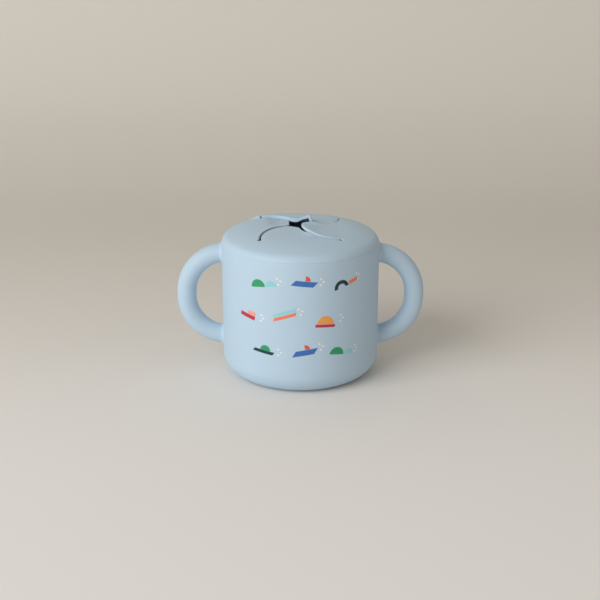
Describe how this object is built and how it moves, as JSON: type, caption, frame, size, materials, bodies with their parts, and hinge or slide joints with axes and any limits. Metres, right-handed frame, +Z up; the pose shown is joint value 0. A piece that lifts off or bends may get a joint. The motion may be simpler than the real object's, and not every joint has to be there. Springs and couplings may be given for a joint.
{
  "type": "toddler snack container",
  "caption": "Round silicone snack cup with side loop handles and a press-on lid whose soft curved flaps let a small hand in and keep the food inside.",
  "frame": {"origin": "centre of the base, on the plane the cup stands on", "axes": "+Z up out of the lid, X across the two handles, -Y towards the front"},
  "size_m": [0.1392, 0.088, 0.0889],
  "materials": {
    "cup_silicone": "matte moulded silicone, pale blue grey, with a small printed pattern",
    "handle_silicone": "matte moulded silicone, pale blue grey",
    "lid_silicone": "matte moulded silicone, pale blue grey",
    "flap_silicone": "matte moulded silicone, pale blue grey, with cut edges"
  },
  "bodies": {
    "cup": {"cup": "cup_silicone", "left_handle": "handle_silicone", "right_handle": "handle_silicone"},
    "lid": {"lid": "lid_silicone"},
    "flap_back": {"flap_back": "flap_silicone"},
    "flap_left": {"flap_left": "flap_silicone"},
    "flap_front": {"flap_front": "flap_silicone"},
    "flap_right": {"flap_right": "flap_silicone"}
  },
  "joints": [
    {"name": "lid_lift", "type": "slide", "parent": "cup", "child": "lid", "axis": [0, 0, 1], "range_m": [0, 0.05]},
    {"name": "flap_back_bend", "type": "hinge", "parent": "lid", "child": "flap_back", "pos_m": [0, 0.0195, 0.0795], "axis": [1, 0, 0], "range_deg": [-32, 87], "stiffness_Nm_per_rad": 0.006},
    {"name": "flap_left_bend", "type": "hinge", "parent": "lid", "child": "flap_left", "pos_m": [-0.0195, 0, 0.0795], "axis": [0, 1, 0], "range_deg": [-47, 72], "stiffness_Nm_per_rad": 0.006},
    {"name": "flap_front_bend", "type": "hinge", "parent": "lid", "child": "flap_front", "pos_m": [0, -0.0195, 0.0795], "axis": [-1, 0, 0], "range_deg": [-44, 75], "stiffness_Nm_per_rad": 0.006},
    {"name": "flap_right_bend", "type": "hinge", "parent": "lid", "child": "flap_right", "pos_m": [0.0195, 0, 0.0795], "axis": [0, -1, 0], "range_deg": [-39, 80], "stiffness_Nm_per_rad": 0.006}
  ]
}
